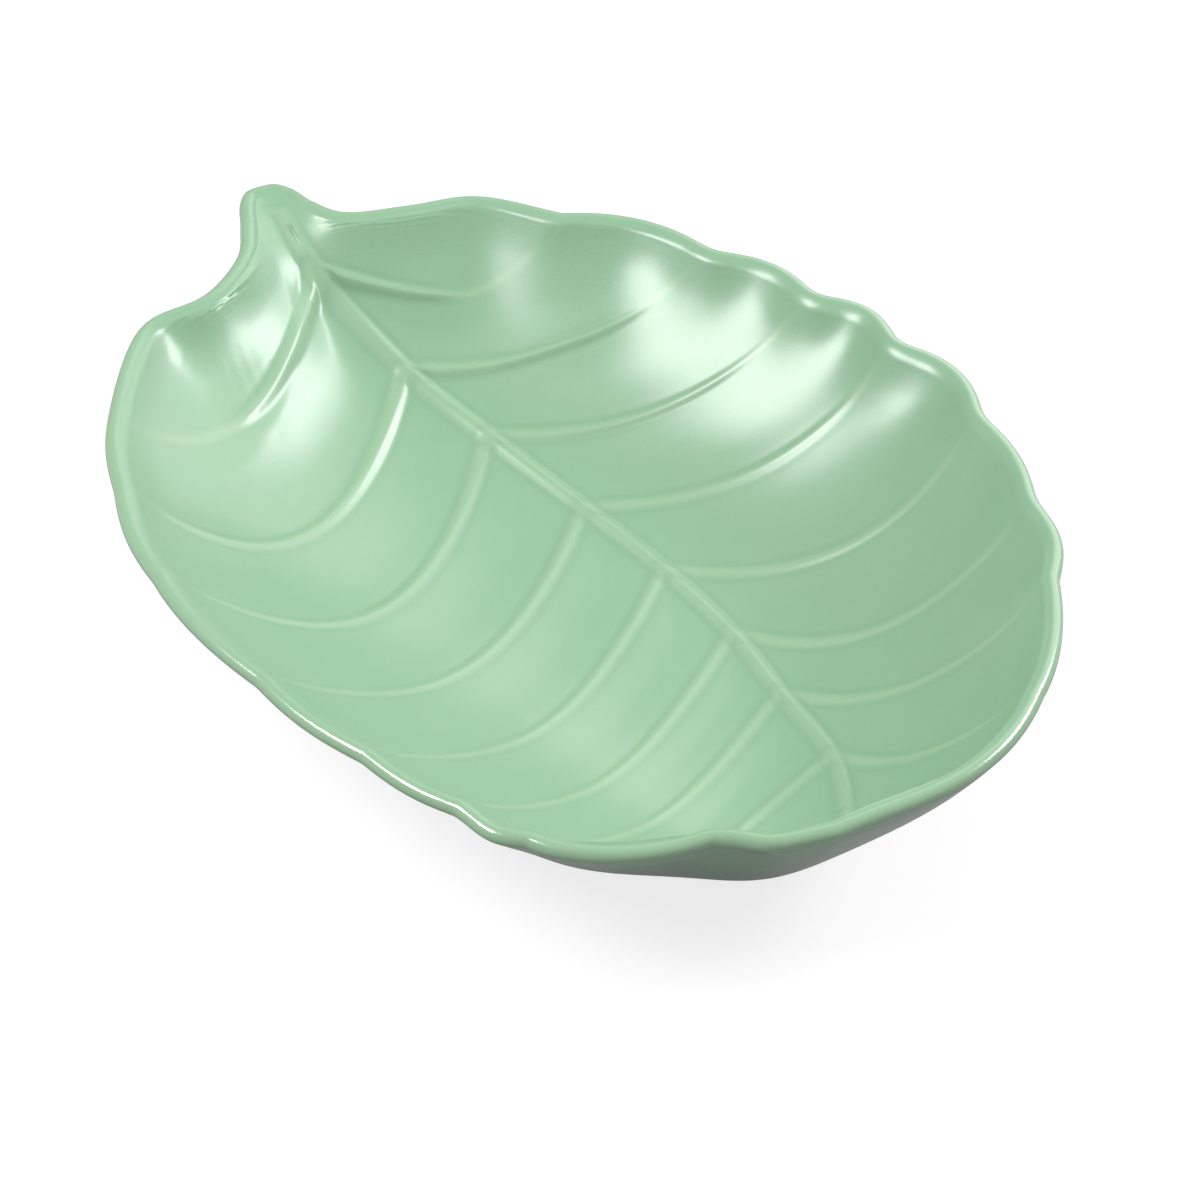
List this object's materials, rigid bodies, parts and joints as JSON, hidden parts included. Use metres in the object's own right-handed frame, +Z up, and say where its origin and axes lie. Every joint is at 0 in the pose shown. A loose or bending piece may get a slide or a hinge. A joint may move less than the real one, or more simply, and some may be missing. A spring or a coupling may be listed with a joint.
{
  "type": "leaf shaped serving dish",
  "caption": "Deep leaf shaped glazed serving dish with a raised midrib and side veins, a waved rim, a short stem and a low oval foot ring.",
  "frame": {"origin": "middle of the dish's box in plan, at the table that the foot ring stands on", "axes": "+X along the leaf from its stem to its tip, +Y across the leaf towards the waved edge, +Z up out of the bowl"},
  "size_m": [0.262, 0.2012, 0.048],
  "materials": {
    "glaze": "gloss",
    "bare_clay": "matte"
  },
  "bodies": {
    "root": {"dish_body": "glaze", "foot_ring": "bare_clay"}
  },
  "joints": []
}
